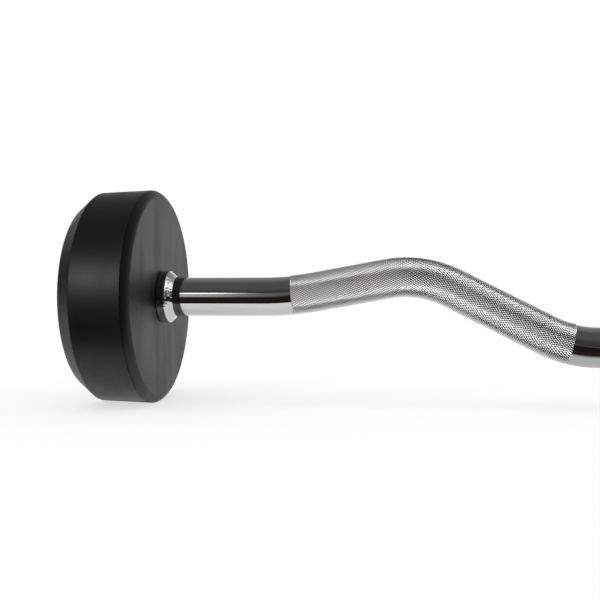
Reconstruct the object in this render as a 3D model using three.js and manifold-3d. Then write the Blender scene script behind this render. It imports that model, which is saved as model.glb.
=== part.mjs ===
// A fixed curl barbell: one bent bar with two knurled grips, and a rubber-clad weight bolted to each end.
// Millimetres. X runs along the axis of the two heads, Z is up, and Y runs from front to back.
// The heads' lowest line is at Z = 0, and X = 0 is the middle of the bar.

import * as THREE from 'three';
import { mergeVertices } from 'three/addons/utils/BufferGeometryUtils.js';
import Module from 'manifold-3d';

const wasm = await Module();
wasm.setup();

// The bar, from the head's inner face to the middle. Lengths run along its centreline.
const barDiameter = 30;
const shankLength = 81.2;
const shankBendRadius = 235;
const shankBendAngle = THREE.MathUtils.degToRad(10.2);
const riseLength = 53.3;
const peakBendRadius = 77.4;
const fallAngle = THREE.MathUtils.degToRad(27.05);
const fallLength = 75.2;
const centreBendRadius = 82.1;
const centreLength = 120;

// The knurled grips stand a little proud of the bar. Both ends are measured from the head along the bar.
const knurlStart = 103.4;
const knurlEnd = 321.2;
const knurlHeight = 0.38;

// The rubber jacket of a head
const headDiameter = 165.6;
const headThickness = 55.6;
const shoulderWidth = 5.3;
const shoulderDepth = 5.4;
const shoulderCrown = 0.8;
const wallDraft = 1.2;
const outerChamferWidth = 10;
const outerChamferDepth = 12.2;
const recessDiameter = 60;

// The cast core inside it
const rubberOnInnerFace = 6;
const rubberOnOuterFace = 6;
const rubberOnWall = 6;
const coreEdgeBreak = 2;
const boltRecessDiameter = 44;
const boltRecessDepth = 25;

// The end of the bar that carries the head
const spigotDiameter = 26;
const spigotShortfall = 1;
const spigotChamfer = 1;
const tappedDepth = 28;
const drillPointDepth = 4.5;

// The collar
const collarDiameter = 40.5;
const collarRimLength = 6.6;
const collarConeDepth = 4.8;
const collarLandWidth = 0.35;
const collarEdgeBreak = 0.4;

// The fasteners of one head
const boltDiameter = 16;
const boltHeadDiameter = 24;
const boltHeadHeight = 16;
const boltLength = 30;
const boltEdgeBreak = 1;
const socketWidth = 14;
const socketDepth = 8;
const washerDiameter = 40;
const washerBore = 17;
const washerThickness = 4;
const lockWasherDiameter = 27.4;
const lockWasherBore = 16.8;
const lockWasherThickness = 3.5;
const lockWasherSplit = 2;
const lockWasherSplitLean = THREE.MathUtils.degToRad(25);
const pinDiameter = 4;
const pinWall = 0.8;
const pinSlot = 1.2;
const pinLength = 16;
const pinHoleSpare = 1;

// The plug in the outer face
const plugSunk = 0.5;
const plugEdgeBreak = 1.2;
const plugSkirtDepth = 5;
const plugSkirtWall = 3.5;

// Clearances
const fitGap = 0.3;
const seatGap = 0.3;
const cutOverrun = 1;
const weldDistance = 0.001;

// How finely round things are divided
const headSides = 64;
const barSides = 32;
const collarSides = 40;
const boltSides = 28;
const pinSteps = 8;
const shoulderSteps = 4;
const bendStep = THREE.MathUtils.degToRad(4.2);

const finishes = {
  chrome: { color: 0xc9cacc, roughness: 0.12, metalness: 1 },
  rubber: { color: 0x1b1b1c, roughness: 0.55, metalness: 0 },
  castIron: { color: 0x4a4745, roughness: 0.7, metalness: 0.9 },
  zincedSteel: { color: 0xa7a9a6, roughness: 0.35, metalness: 1 },
  springSteel: { color: 0x5b5650, roughness: 0.45, metalness: 1 },
  blackSteel: { color: 0x242426, roughness: 0.4, metalness: 0.8 },
  plugRubber: { color: 0x202021, roughness: 0.6, metalness: 0 },
};

// Sizes that follow from the ones above
const barRadius = barDiameter / 2;
const headRadius = headDiameter / 2;
const outerFaceRadius = headRadius - wallDraft - outerChamferWidth;
const coreStart = rubberOnInnerFace;
const coreEnd = headThickness - rubberOnOuterFace;
const coreRadius = headRadius - rubberOnWall;
const boltRecessFloor = coreEnd - boltRecessDepth;
const barEnd = coreStart - seatGap;
const spigotRadius = spigotDiameter / 2;
const spigotEnd = boltRecessFloor - spigotShortfall;
const pinCircleRadius = spigotRadius + fitGap / 2;

// Solids from three.js geometry and back

function toSolid(geometry) {
  const bare = geometry.clone();
  bare.deleteAttribute('normal');
  bare.deleteAttribute('uv');
  const welded = mergeVertices(bare, weldDistance);
  const corners = welded.index.array;
  const kept = [];
  for (let i = 0; i < corners.length; i += 3) {
    const [a, b, c] = corners.slice(i, i + 3);
    if (a !== b && b !== c && c !== a) kept.push(a, b, c);
  }
  return new wasm.Manifold(new wasm.Mesh({
    numProp: 3,
    vertProperties: Float32Array.from(welded.attributes.position.array),
    triVerts: Uint32Array.from(kept),
  }));
}

function toMesh(name, solid, finish) {
  const { vertProperties, triVerts } = solid.getMesh();
  const geometry = new THREE.BufferGeometry();
  geometry.setAttribute('position', new THREE.BufferAttribute(Float32Array.from(vertProperties), 3));
  geometry.setIndex(new THREE.BufferAttribute(Uint32Array.from(triVerts), 1));
  geometry.computeVertexNormals();
  const mesh = new THREE.Mesh(geometry, new THREE.MeshStandardMaterial(finishes[finish]));
  mesh.name = name;
  return mesh;
}

// Turns an outline of [radius, place along X] corners about the X axis. The flats, not the corners, lie on
// the true radius, and a flat faces straight down.
function turned(outline, sides) {
  const points = outline.map(([radius, along]) => new THREE.Vector2(radius / Math.cos(Math.PI / sides), along));
  if (THREE.ShapeUtils.area(points) < 0) points.reverse();
  if (points[0].x > 0 || points.at(-1).x > 0) points.push(points[0].clone());
  const geometry = new THREE.LatheGeometry(points, sides, Math.PI / sides);
  return toSolid(geometry.rotateZ(-Math.PI / 2));
}

// A plain round rod from one place along X to another
function rod(radius, from, to, sides) {
  return turned([[0, from], [radius, from], [radius, to], [0, to]], sides);
}

// A flat outline, drawn looking along X, pushed out along X
function prism(outline, from, to) {
  const shape = new THREE.Shape(outline);
  const geometry = new THREE.ExtrudeGeometry(shape, { depth: to - from, bevelEnabled: false });
  return toSolid(geometry.rotateY(Math.PI / 2).translate(from, 0, 0));
}

// Corners of a regular outline whose flats touch a circle
function regularOutline(radius, sides) {
  const corner = radius / Math.cos(Math.PI / sides);
  return Array.from({ length: sides }, (_, i) => {
    const angle = ((2 * i + 1) * Math.PI) / sides;
    return new THREE.Vector2(corner * Math.cos(angle), corner * Math.sin(angle));
  });
}

// Points of the circular arc that stands a crown's height to the right of the way from start to end
function bulge(start, end, crown, steps) {
  const [a, b] = [new THREE.Vector2(...start), new THREE.Vector2(...end)];
  const chord = b.clone().sub(a);
  const radius = (chord.lengthSq() / 4 + crown * crown) / 2 / crown;
  const half = Math.asin(chord.length() / 2 / radius);
  const across = new THREE.Vector2(chord.y, -chord.x).normalize();
  const middle = a.clone().add(b).divideScalar(2);
  const centre = middle.addScaledVector(across, -radius * Math.cos(half));
  return Array.from({ length: steps + 1 }, (_, i) => {
    const turn = half * ((2 * i) / steps - 1);
    const spoke = across.clone().rotateAround(new THREE.Vector2(), turn);
    return centre.clone().addScaledVector(spoke, radius).toArray();
  });
}

// The bar's centreline: straights and the arcs that join them, all in the XZ plane. Each leg is a length and
// the angle it turns up through, and the marks are the places along the line where a section is set.
class BarLine extends THREE.Curve {
  constructor(legs, start, from, to) {
    super();
    this.legs = [];
    const marks = [from, to];
    let [along, x, z, angle] = [0, start.x, start.z, 0];
    for (const { length, turn } of legs) {
      this.legs.push({ along, length, turn, x, z, angle });
      const steps = Math.max(1, Math.round(Math.abs(turn) / bendStep));
      for (let i = 0; i < steps; i += 1) marks.push(along + (length * i) / steps);
      [x, z] = this.place(along + length);
      along += length;
      angle += turn;
    }
    this.length = along;
    const inside = marks.filter((mark) => mark >= from && mark <= to).sort((a, b) => a - b);
    this.marks = inside.filter((mark, i) => i === 0 || mark - inside[i - 1] > weldDistance);
  }

  legAt(along) {
    return this.legs.findLast((leg) => leg.along <= along) ?? this.legs[0];
  }

  slope(along) {
    const leg = this.legAt(along);
    return leg.angle + (leg.turn * (along - leg.along)) / leg.length;
  }

  place(along) {
    const leg = this.legAt(along);
    const gone = along - leg.along;
    const half = (leg.turn * gone) / leg.length / 2;
    const reach = half === 0 ? gone : (gone * Math.sin(half)) / half;
    return [leg.x + reach * Math.cos(leg.angle + half), leg.z + reach * Math.sin(leg.angle + half)];
  }

  markAt(share) {
    return this.marks[Math.round(share * (this.marks.length - 1))];
  }

  getPointAt(share, target = new THREE.Vector3()) {
    const [x, z] = this.place(this.markAt(share));
    return target.set(x, 0, z);
  }

  getTangentAt(share, target = new THREE.Vector3()) {
    const slope = this.slope(this.markAt(share));
    return target.set(Math.cos(slope), 0, Math.sin(slope));
  }
}

function sweep(radius, line) {
  const shape = new THREE.Shape(regularOutline(radius, barSides));
  return toSolid(new THREE.ExtrudeGeometry(shape, { steps: line.marks.length - 1, extrudePath: line }));
}

// The legs of half the bar, from a head's inner face to the middle of the centre straight
const fallTurn = shankBendAngle + fallAngle;
const halfLegs = [
  { length: shankLength, turn: 0 },
  { length: shankBendRadius * shankBendAngle, turn: shankBendAngle },
  { length: riseLength, turn: 0 },
  { length: peakBendRadius * fallTurn, turn: -fallTurn },
  { length: fallLength, turn: 0 },
  { length: centreBendRadius * fallAngle, turn: fallAngle },
  { length: centreLength / 2, turn: 0 },
];
const halfLine = new BarLine(halfLegs, new THREE.Vector3(), 0, 0);
const faceX = halfLine.place(halfLine.length)[0];
const axisHeight = headRadius;

// The end of the bar inside a head: the spigot, its tapped hole and the two grooves for the pins
function spigot() {
  const body = turned([
    [0, -cutOverrun],
    [spigotRadius, -cutOverrun],
    [spigotRadius, spigotEnd - spigotChamfer],
    [spigotRadius - spigotChamfer, spigotEnd],
    [0, spigotEnd],
  ], boltSides);
  return body;
}

function tappedHole() {
  const radius = boltDiameter / 2 + fitGap;
  const floor = spigotEnd - tappedDepth;
  return turned([
    [0, floor - drillPointDepth],
    [radius, floor],
    [radius, spigotEnd + cutOverrun],
    [0, spigotEnd + cutOverrun],
  ], boltSides);
}

function pinHoles() {
  const radius = pinDiameter / 2 + fitGap;
  const floor = boltRecessFloor - pinLength - pinHoleSpare;
  const hole = rod(radius, floor, boltRecessFloor + cutOverrun, pinSteps * 2);
  return hole.translate([0, 0, pinCircleRadius]).add(hole.translate([0, 0, -pinCircleRadius]));
}

// Puts a solid drawn outwards from a head's inner face at the bar's left or right end
function atEnd(solid, side) {
  const turnedSolid = side < 0 ? solid.rotate([0, 0, 180]) : solid;
  return turnedSolid.translate([side * faceX, 0, axisHeight]);
}

function makeBar() {
  const tailLeg = { length: barEnd, turn: 0 };
  const mirrored = halfLegs.toReversed();
  const legs = [tailLeg, ...halfLegs, ...mirrored, tailLeg];
  const start = new THREE.Vector3(-faceX - barEnd, 0, axisHeight);
  const fullLength = 2 * (barEnd + halfLine.length);
  const leftGrip = [barEnd + knurlStart, barEnd + knurlEnd];
  const rightGrip = [fullLength - leftGrip[1], fullLength - leftGrip[0]];
  let bar = sweep(barRadius, new BarLine(legs, start, 0, fullLength));
  for (const [from, to] of [leftGrip, rightGrip]) {
    bar = bar.add(sweep(barRadius + knurlHeight, new BarLine(legs, start, from, to)));
  }
  for (const side of [-1, 1]) {
    bar = bar.add(atEnd(spigot(), side)).subtract(atEnd(tappedHole(), side)).subtract(atEnd(pinHoles(), side));
  }
  return toMesh('bar', bar, 'chrome');
}

// The core's outline round its rim, grown outwards by a gap. Its outer chamfer runs beside the jacket's.
function coreOutline(gap) {
  const slant = Math.hypot(outerChamferWidth, outerChamferDepth) / outerChamferDepth;
  const spread = outerChamferWidth / outerChamferDepth;
  const chamferEnd = outerFaceRadius + rubberOnOuterFace * spread - rubberOnWall * slant;
  const chamferStart = coreEnd - (coreRadius - chamferEnd) / spread;
  return [
    [coreRadius - coreEdgeBreak + gap, coreStart - gap],
    [coreRadius + gap, coreStart + coreEdgeBreak - gap],
    [coreRadius + gap, chamferStart + gap],
    [chamferEnd + gap, coreEnd + gap],
  ];
}

function makeCore() {
  const bore = spigotRadius + fitGap;
  const outline = [
    [bore, coreStart],
    ...coreOutline(0),
    [boltRecessDiameter / 2, coreEnd],
    [boltRecessDiameter / 2, boltRecessFloor],
    [bore, boltRecessFloor],
  ];
  return turned(outline, headSides).subtract(pinHoles());
}

// The jacket wraps the core from the bar's hole in the inner face to the recess in the outer face
function makeJacket() {
  const hole = barRadius + fitGap;
  const rim = [headRadius, shoulderDepth];
  const outline = [
    [hole, 0],
    ...bulge([headRadius - shoulderWidth, 0], rim, shoulderCrown, shoulderSteps),
    [outerFaceRadius + outerChamferWidth, headThickness - outerChamferDepth],
    [outerFaceRadius, headThickness],
    [recessDiameter / 2, headThickness],
    [recessDiameter / 2, coreEnd + fitGap],
    ...coreOutline(fitGap).reverse(),
    [hole, coreStart - fitGap],
  ];
  return turned(outline, headSides);
}

// The collar lies on the bar's side of the head's face, so its places along X are negative
function makeCollar() {
  const bore = barRadius + fitGap;
  const radius = collarDiameter / 2;
  const nearEnd = -seatGap;
  const rimEnd = nearEnd - collarRimLength;
  return turned([
    [bore, nearEnd],
    [radius - collarEdgeBreak, nearEnd],
    [radius, nearEnd - collarEdgeBreak],
    [radius, rimEnd],
    [radius - collarConeDepth, rimEnd - collarConeDepth],
    [bore, rimEnd - collarConeDepth - collarLandWidth],
  ], collarSides);
}

function makePin() {
  const outer = pinDiameter / 2;
  const inner = outer - pinWall;
  const shape = new THREE.Shape();
  shape.absarc(0, 0, outer, Math.asin(pinSlot / 2 / outer), -Math.asin(pinSlot / 2 / outer), false);
  shape.absarc(0, 0, inner, -Math.asin(pinSlot / 2 / inner), Math.asin(pinSlot / 2 / inner), true);
  return prism(shape.getPoints(pinSteps), boltRecessFloor - pinLength, boltRecessFloor);
}

const washerStart = boltRecessFloor + seatGap;
const lockWasherStart = washerStart + washerThickness + seatGap;
const boltHeadStart = lockWasherStart + lockWasherThickness + seatGap;

function makeWasher(diameter, bore, start, thickness) {
  return turned([
    [bore / 2, start],
    [diameter / 2, start],
    [diameter / 2, start + thickness],
    [bore / 2, start + thickness],
  ], boltSides);
}

// The lock washer is one turn of square spring wire, cut through on a slant
function makeLockWasher() {
  const ring = makeWasher(lockWasherDiameter, lockWasherBore, lockWasherStart, lockWasherThickness);
  const reach = lockWasherDiameter / 2;
  const split = toSolid(new THREE.BoxGeometry(2 * reach, lockWasherSplit, reach)
    .rotateZ(lockWasherSplitLean)
    .translate(lockWasherStart + lockWasherThickness / 2, 0, reach));
  return ring.subtract(split);
}

function makeBolt() {
  const headEnd = boltHeadStart + boltHeadHeight;
  const headRim = boltHeadDiameter / 2;
  const shank = boltDiameter / 2;
  const tip = boltHeadStart - boltLength;
  const body = turned([
    [0, tip],
    [shank - boltEdgeBreak, tip],
    [shank, tip + boltEdgeBreak],
    [shank, boltHeadStart],
    [headRim, boltHeadStart],
    [headRim, headEnd - boltEdgeBreak],
    [headRim - boltEdgeBreak, headEnd],
    [0, headEnd],
  ], boltSides);
  return body.subtract(prism(regularOutline(socketWidth / 2, 6), headEnd - socketDepth, headEnd + cutOverrun));
}

// A disc level with the rubber, and a skirt that grips the wall of the bolt recess
function makePlug() {
  const disc = recessDiameter / 2 - fitGap;
  const skirt = boltRecessDiameter / 2 - fitGap;
  const face = headThickness - plugSunk;
  const seat = coreEnd + seatGap;
  return turned([
    [0, seat],
    [skirt - plugSkirtWall, seat],
    [skirt - plugSkirtWall, coreEnd - plugSkirtDepth],
    [skirt, coreEnd - plugSkirtDepth],
    [skirt, seat],
    [disc, seat],
    [disc, face - plugEdgeBreak],
    [disc - plugEdgeBreak, face],
    [0, face],
  ], collarSides);
}

// One head with everything that holds it, drawn outwards along X from its inner face
function makeEnd(side) {
  const pin = makePin();
  const clampWasher = makeWasher(washerDiameter, washerBore, washerStart, washerThickness);
  const end = new THREE.Group();
  end.add(
    toMesh(`${side}_collar`, makeCollar(), 'chrome'),
    toMesh(`${side}_head_core`, makeCore(), 'castIron'),
    toMesh(`${side}_head_jacket`, makeJacket(), 'rubber'),
    toMesh(`${side}_spring_pin_top`, pin.translate([0, 0, pinCircleRadius]), 'springSteel'),
    toMesh(`${side}_spring_pin_bottom`, pin.translate([0, 0, -pinCircleRadius]), 'springSteel'),
    toMesh(`${side}_clamp_washer`, clampWasher, 'zincedSteel'),
    toMesh(`${side}_lock_washer`, makeLockWasher(), 'springSteel'),
    toMesh(`${side}_head_bolt`, makeBolt(), 'blackSteel'),
    toMesh(`${side}_end_plug`, makePlug(), 'plugRubber'),
  );
  return end;
}

const barbell = new THREE.Group();
barbell.add(makeBar());
for (const [side, way] of [['left', -1], ['right', 1]]) {
  const end = makeEnd(side);
  end.position.set(way * faceX, 0, axisHeight);
  if (way < 0) end.rotation.z = Math.PI;
  barbell.add(end);
}

export default barbell;
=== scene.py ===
"""A fixed curl barbell: one bent, knurled and chromed bar with a rubber-clad weight bolted to each end.

Everything is in metres. X runs along the axis of the two heads, Z is up, and the front of the bar faces -Y.
"""

import math

import bmesh
import bpy
from mathutils import Matrix, Vector


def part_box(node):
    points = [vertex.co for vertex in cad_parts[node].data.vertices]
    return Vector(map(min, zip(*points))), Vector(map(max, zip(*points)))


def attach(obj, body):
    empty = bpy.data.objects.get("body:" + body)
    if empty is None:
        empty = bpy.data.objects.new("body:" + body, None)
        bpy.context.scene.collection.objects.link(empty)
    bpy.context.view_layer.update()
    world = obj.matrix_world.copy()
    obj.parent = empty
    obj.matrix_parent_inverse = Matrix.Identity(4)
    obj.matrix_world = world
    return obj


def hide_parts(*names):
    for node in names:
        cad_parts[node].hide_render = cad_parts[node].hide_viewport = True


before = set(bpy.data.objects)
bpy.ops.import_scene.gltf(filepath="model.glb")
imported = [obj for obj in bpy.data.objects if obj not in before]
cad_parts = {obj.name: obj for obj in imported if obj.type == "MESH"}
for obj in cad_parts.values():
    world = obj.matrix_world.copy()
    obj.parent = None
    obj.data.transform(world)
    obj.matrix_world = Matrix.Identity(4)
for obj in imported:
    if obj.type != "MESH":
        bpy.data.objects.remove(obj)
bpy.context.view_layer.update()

# The camera looks level across the front of the left half of the bar, from the height of the heads' axis.
# Its place is given from the middle of the left head's inner face.
jacket_low, jacket_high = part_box("left_head_jacket")
face_x = -jacket_high.x
axis_height = (jacket_low.z + jacket_high.z) / 2
camera_turn = math.radians(7.88)
camera_tilt = math.radians(0.16)
face_to_the_left = 0.1077
face_above = 0.0008
face_ahead = 0.6569
lens_length = 50.22

camera = bpy.data.objects.new("camera", bpy.data.cameras.new("camera"))
bpy.context.scene.collection.objects.link(camera)
camera.data.lens = lens_length
camera_right = Vector((math.cos(camera_turn), math.sin(camera_turn), 0))
camera_ahead = Vector((-math.sin(camera_turn), math.cos(camera_turn), 0))
camera.location = (
    Vector((-face_x, 0, axis_height - face_above))
    + face_to_the_left * camera_right
    - face_ahead * camera_ahead
)
camera.rotation_euler = (math.pi / 2 - camera_tilt, 0, camera_turn)
bpy.context.scene.camera = camera
bpy.context.scene.view_settings.view_transform = "Standard"


# The studio. A white sweep lies under the bar and behind it, and stops a hand's width in front. The room in
# front and the ceiling are dark, with one long window high in front of the left head. Only metal and rubber
# mirror this room and its soft cards, some of which light the grips alone and some the collars alone.
def node(tree, kind, inputs=(), **settings):
    """Adds a node, with its settings and with its inputs, each a value or the output that feeds it."""
    made = tree.nodes.new(kind)
    for name, value in settings.items():
        setattr(made, name, value)
    for name, value in dict(inputs).items():
        if isinstance(value, bpy.types.NodeSocket):
            tree.links.new(value, made.inputs[name])
        else:
            made.inputs[name].default_value = value
    return made


def maths(tree, operation, *values, **settings):
    """The output of a Math node."""
    return node(tree, "ShaderNodeMath", enumerate(values), operation=operation, **settings).outputs[0]


def split(tree, vector):
    return node(tree, "ShaderNodeSeparateXYZ", {"Vector": vector}).outputs


def seen_rays(tree):
    """1 for what the camera, a gloss or a clear body sees, 0 for what lights the other surfaces."""
    path = node(tree, "ShaderNodeLightPath").outputs
    gloss_or_clear = maths(tree, "MAXIMUM", path["Is Glossy Ray"], path["Is Transmission Ray"])
    return maths(tree, "MAXIMUM", path["Is Camera Ray"], gloss_or_clear)


def empty_material(name):
    made = bpy.data.materials.new(name)
    made.use_nodes = True
    made.node_tree.nodes.clear()
    return made


def close(tree, shader):
    node(tree, "ShaderNodeOutputMaterial", {"Surface": shader})


white = (1, 1, 1, 1)
black = (0, 0, 0, 1)
ambient_level = 0.42
world = bpy.data.worlds.new("studio")
bpy.context.scene.world = world
world.use_nodes = True
sky = world.node_tree
sky.nodes.clear()
sky_level = node(
    sky, "ShaderNodeMapRange", {"Value": seen_rays(sky), "To Min": ambient_level, "To Max": 1.0}
)
background = node(sky, "ShaderNodeBackground", {"Color": white, "Strength": sky_level.outputs[0]})
node(sky, "ShaderNodeOutputWorld", {"Surface": background.outputs[0]})

floor_colour = (0.6, 0.6, 0.6, 1)
floor_glow = 0.64
floor_material = empty_material("floor_white")
floor_tree = floor_material.node_tree
floor_diffuse = node(floor_tree, "ShaderNodeBsdfDiffuse", {"Color": floor_colour})
floor_level = maths(floor_tree, "MULTIPLY", seen_rays(floor_tree), floor_glow)
floor_emission = node(floor_tree, "ShaderNodeEmission", {"Color": white, "Strength": floor_level})
floor_both = node(
    floor_tree, "ShaderNodeAddShader", {0: floor_diffuse.outputs[0], 1: floor_emission.outputs[0]}
)
close(floor_tree, floor_both.outputs[0])
floor_material.cycles.emission_sampling = "NONE"


def card(name, corners, material):
    """A flat stage card through four corners."""
    mesh = bpy.data.meshes.new(name)
    mesh.from_pydata(corners, [], [range(len(corners))])
    mesh.materials.append(material)
    made = bpy.data.objects.new(name, mesh)
    bpy.context.scene.collection.objects.link(made)
    return made


def level_corners(left, right, front, back, height):
    return [(left, front, height), (right, front, height), (right, back, height), (left, back, height)]


def front_corners(left, right, low, high, place):
    return [(left, place, low), (right, place, low), (right, place, high), (left, place, high)]


def side_corners(front, back, low, high, place):
    return [(place, front, low), (place, back, low), (place, back, high), (place, front, high)]


floor_reach = 30.0
card("floor", level_corners(-floor_reach, floor_reach, -floor_reach, floor_reach, 0), floor_material)

# Who sees a card's glow, by light linking. The pieces are put in below, as they are made.
only_grips = bpy.data.collections.new("only_grips")
only_collars = bpy.data.collections.new("only_collars")
all_but_grips = bpy.data.collections.new("all_but_grips")


def glow_card(name, corners, axis, stops, level=1.0, clear=False, seen_by=None):
    """A card that only metal and rubber mirror, or only the pieces that seen_by names. Its glow follows stops
    of (place along an axis, colour or grey). A clear card adds its glow to what lies behind it."""
    material = empty_material(name)
    tree = material.node_tree
    place = split(tree, node(tree, "ShaderNodeTexCoord").outputs["Object"])
    start, end = stops[0][0], stops[-1][0]
    along = node(
        tree, "ShaderNodeMapRange", {"Value": place[axis], "From Min": start, "From Max": end}
    )
    ramp = node(tree, "ShaderNodeValToRGB", {"Fac": along.outputs[0]})
    ramp.color_ramp.elements.remove(ramp.color_ramp.elements[1])
    for stop, glow in stops:
        share = (stop - start) / (end - start)
        element = ramp.color_ramp.elements.new(share) if share > 0 else ramp.color_ramp.elements[0]
        element.color = (*glow, 1) if isinstance(glow, tuple) else (glow, glow, glow, 1)
    emission = node(tree, "ShaderNodeEmission", {"Color": ramp.outputs["Color"], "Strength": level})
    behind = node(tree, "ShaderNodeBsdfTransparent", {"Color": white if clear else black})
    both = node(tree, "ShaderNodeAddShader", {0: emission.outputs[0], 1: behind.outputs[0]})
    close(tree, both.outputs[0])
    material.cycles.emission_sampling = "NONE"
    made = card(name, corners, material)
    made.visible_camera = False
    made.visible_diffuse = False
    made.visible_shadow = False
    made.visible_transmission = False
    made.visible_volume_scatter = False
    made.light_linking.receiver_collection = seen_by
    return made


def even(start, end, glow):
    """Stops of one glow all the way."""
    return [(start, glow), (end, glow)]


# The room: its floor up to the sweep, the dark strip that the sweep's edge makes below the middle of the bar
# with a painted shadow of the bar on the floor behind it, its walls and its ceiling, which brightens behind
# the bar.
room_reach = 4.0
room_front = -2.4
room_side = 2.6
ceiling_height = 2.4
card_lift = 0.002
lift = 2 * card_lift
under_ceiling = ceiling_height - lift
dark_floor = (0.030, 0.016, 0.014)
dark_wall = (0.060, 0.057, 0.056)
dark_ceiling = (0.118, 0.115, 0.113)

sweep_front = -0.098
warm_floor = (0.044, 0.029, 0.027)
warm_end = -1.5
dim_floor = (0.016, 0.009, 0.009)
dim_start = 0.2
glow_card(
    "dark_floor",
    level_corners(-room_reach, room_reach, room_front, sweep_front, card_lift),
    "X",
    [(-room_reach, warm_floor), (warm_end, warm_floor), (dim_start, dim_floor), (room_reach, dim_floor)],
)

# The sweep's dark edge under the middle of the bar, then a painted shadow of the bar on the floor under it,
# seen only in reflections.
shade_reach = 0.115
shade_back = 0.10
shade_glow = [
    (sweep_front, dark_floor),
    (-0.049, dark_floor),
    (-0.042, 0.30),
    (-0.031, 0.70),
    (shade_back, 0.78),
]
glow_card(
    "shaded_floor",
    level_corners(-shade_reach, shade_reach, sweep_front, shade_back, card_lift),
    "Y",
    shade_glow,
)

skirting = (0.13, 0.12, 0.12)
front_wall_glow = [
    (0, dark_floor),
    (0.10, skirting),
    (0.30, dark_wall),
    (1.2, dark_wall),
    (ceiling_height, dark_ceiling),
]
glow_card(
    "front_wall",
    front_corners(-room_reach, room_reach, 0, ceiling_height, room_front),
    "Z",
    front_wall_glow,
)

left_wall_back = 1.2
glow_card(
    "left_wall",
    side_corners(room_front, left_wall_back, 0, ceiling_height, -room_side),
    "Z",
    [(0, dark_wall), (ceiling_height, dark_ceiling)],
)

right_wall_front = -1.2
right_wall_back = 0.3
right_wall_height = 1.7
glow_card(
    "right_wall",
    side_corners(right_wall_front, right_wall_back, 0, right_wall_height, room_side),
    "Z",
    [(0, dark_floor), (right_wall_height, dark_wall)],
)

ceiling_back = 4.4
ceiling_glow = [
    (room_front, dark_ceiling),
    (-0.1, dark_ceiling),
    (0.37, 0.18),
    (0.75, 0.225),
    (2.2, 0.32),
    (ceiling_back, 0.43),
]
glow_card(
    "ceiling",
    level_corners(-room_reach, room_reach, room_front, ceiling_back, ceiling_height),
    "Y",
    ceiling_glow,
)

# The window, with a dimmer pane above it and a pale wall under it. The window and the pane count as lamps.
window_left = -2.3
window_right = -0.60
window_place = -2.0
window_low = 0.70
window_high = 0.845
window_level = 26.0
window_glow = [
    (window_left, 1.0),
    (-1.14, 1.0),
    (-1.02, 0.2),
    (-0.90, 0.18),
    (-0.83, 0.1),
    (-0.74, 0.012),
    (-0.66, 0.002),
    (window_right, 0.002),
]
window = glow_card(
    "window",
    front_corners(window_left, window_right, window_low, window_high, window_place),
    "X",
    window_glow,
    level=window_level,
    seen_by=all_but_grips,
)

pane_right = -1.12
pane_high = 1.20
pane_level = 9.0
pane_glow = [(window_high, 1.0), (pane_high, 0.3)]
pane = glow_card(
    "window_pane",
    front_corners(window_left, pane_right, window_high, pane_high, window_place),
    "Z",
    pane_glow,
    level=pane_level,
    seen_by=all_but_grips,
)
for lamp in (window, pane):
    lamp.data.materials[0].cycles.emission_sampling = "FRONT_BACK"

sill_low = 0.01
sill_glow = [
    (window_left, 0.50),
    (-0.91, 0.55),
    (-0.84, 0.50),
    (-0.74, 0.28),
    (-0.67, 0.18),
    (window_right, 0.14),
]
glow_card(
    "window_sill",
    front_corners(window_left, window_right, sill_low, window_low, window_place),
    "X",
    sill_glow,
)

# Streaks of light and dark on the ceiling and the right wall, which sparkle in the collars' cones.
collar_streaks_left = 0.5
collar_streaks_reach = 1.3
collar_streaks_glow = [
    (collar_streaks_left, 0.4),
    (0.9, 0.5),
    (1.0, 1.8),
    (1.2, 1.6),
    (1.3, 0.1),
    (1.5, 0.1),
    (1.6, 0.9),
    (1.9, 1.1),
    (2.0, 0.1),
    (2.1, 0.1),
    (2.2, 2.6),
    (room_side, 2.6),
]
glow_card(
    "collar_streaks",
    level_corners(collar_streaks_left, room_side, -collar_streaks_reach, collar_streaks_reach, under_ceiling),
    "X",
    collar_streaks_glow,
    clear=True,
    seen_by=only_collars,
)

wall_streaks_low = 0.3
wall_streaks_glow = [
    (wall_streaks_low, 0.0),
    (0.4, 0.6),
    (0.5, 0.0),
    (0.75, 0.0),
    (0.8, 0.9),
    (0.85, 0.0),
    (1.3, 0.0),
    (1.35, 2.4),
    (1.55, 2.6),
    (1.6, 0.0),
    (1.85, 0.0),
    (1.9, 2.6),
    (2.2, 2.6),
    (ceiling_height, 0.3),
]
glow_card(
    "wall_streaks",
    side_corners(room_front, right_wall_back, wall_streaks_low, ceiling_height, room_side - lift),
    "Z",
    wall_streaks_glow,
    clear=True,
    seen_by=only_collars,
)

# A painted pool of light on the floor by the left head, seen only in reflections, makes it brighter in the
# shank's lower edge than further along.
head_floor_left = -0.46
head_floor_right = -0.16
head_floor_painted_light = [(head_floor_left, 0.16), (head_floor_right, 0.02)]
glow_card(
    "floor_by_head",
    level_corners(head_floor_left, head_floor_right, sweep_front, -sweep_front, lift),
    "X",
    head_floor_painted_light,
    clear=True,
    seen_by=all_but_grips,
)


def grip_light(name, corners, axis, stops):
    """A clear card whose glow only the grips see."""
    glow_card(name, corners, axis, stops, clear=True, seen_by=only_grips)


# The grips' own soft light from the front, the sides, the ceiling and the floor. Their small facets mirror
# all of the room at once, and it gives them a light upper edge, a dark band and a light band below it.
left_front_start = -2.2
left_front_corner = -1.09
left_front_end = -0.42
left_front_height = 2.0
left_front_glow = [
    (left_front_start, 3.1),
    (left_front_corner, 3.1),
    (left_front_corner + lift, 1.8),
    (left_front_end, 1.7),
]
grip_light(
    "left_front_light",
    front_corners(left_front_start, left_front_end, 0, left_front_height, window_place + lift),
    "X",
    left_front_glow,
)

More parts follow.
